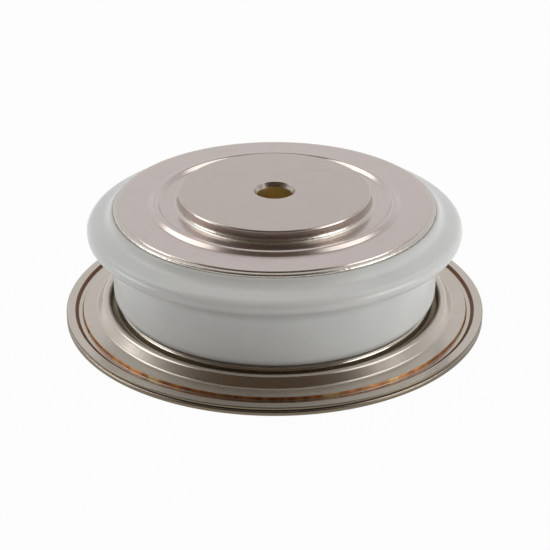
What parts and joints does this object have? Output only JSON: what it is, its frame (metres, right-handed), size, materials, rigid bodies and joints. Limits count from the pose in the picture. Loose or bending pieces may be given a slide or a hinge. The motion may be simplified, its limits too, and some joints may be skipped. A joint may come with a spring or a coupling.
{
  "type": "rectifier diode",
  "caption": "Disc-type rectifier diode: ribbed white ceramic ring, wide cold-welded metal flange and flat round contact faces, each with a locating hole.",
  "frame": {"origin": "middle of the lower contact face", "axes": "+Z along the capsule's axis, from the lower contact face to the upper one"},
  "size_m": [0.042, 0.042, 0.014],
  "materials": {
    "nickel_plate": "satin",
    "braze": "satin",
    "alumina": "gloss",
    "molybdenum": "satin",
    "silver": "satin",
    "silicon": "gloss",
    "alloy": "matte",
    "silicone_rubber": "satin",
    "ptfe": "satin"
  },
  "bodies": {
    "root": {"upper_pole_piece": "nickel_plate", "upper_pole_braze": "braze", "upper_flange": "nickel_plate", "upper_ceramic_braze": "braze", "ceramic_housing": "alumina", "lower_ceramic_braze": "braze", "weld_ring": "nickel_plate", "base_flange": "nickel_plate", "lower_pole_braze": "braze", "lower_pole_piece": "nickel_plate", "upper_contact_foil": "silver", "upper_molybdenum_disc": "molybdenum", "silicon_wafer": "silicon", "wafer_alloy_layer": "alloy", "lower_molybdenum_disc": "molybdenum", "lower_contact_foil": "silver", "wafer_edge_seal": "silicone_rubber", "centring_ring": "ptfe"}
  },
  "joints": []
}
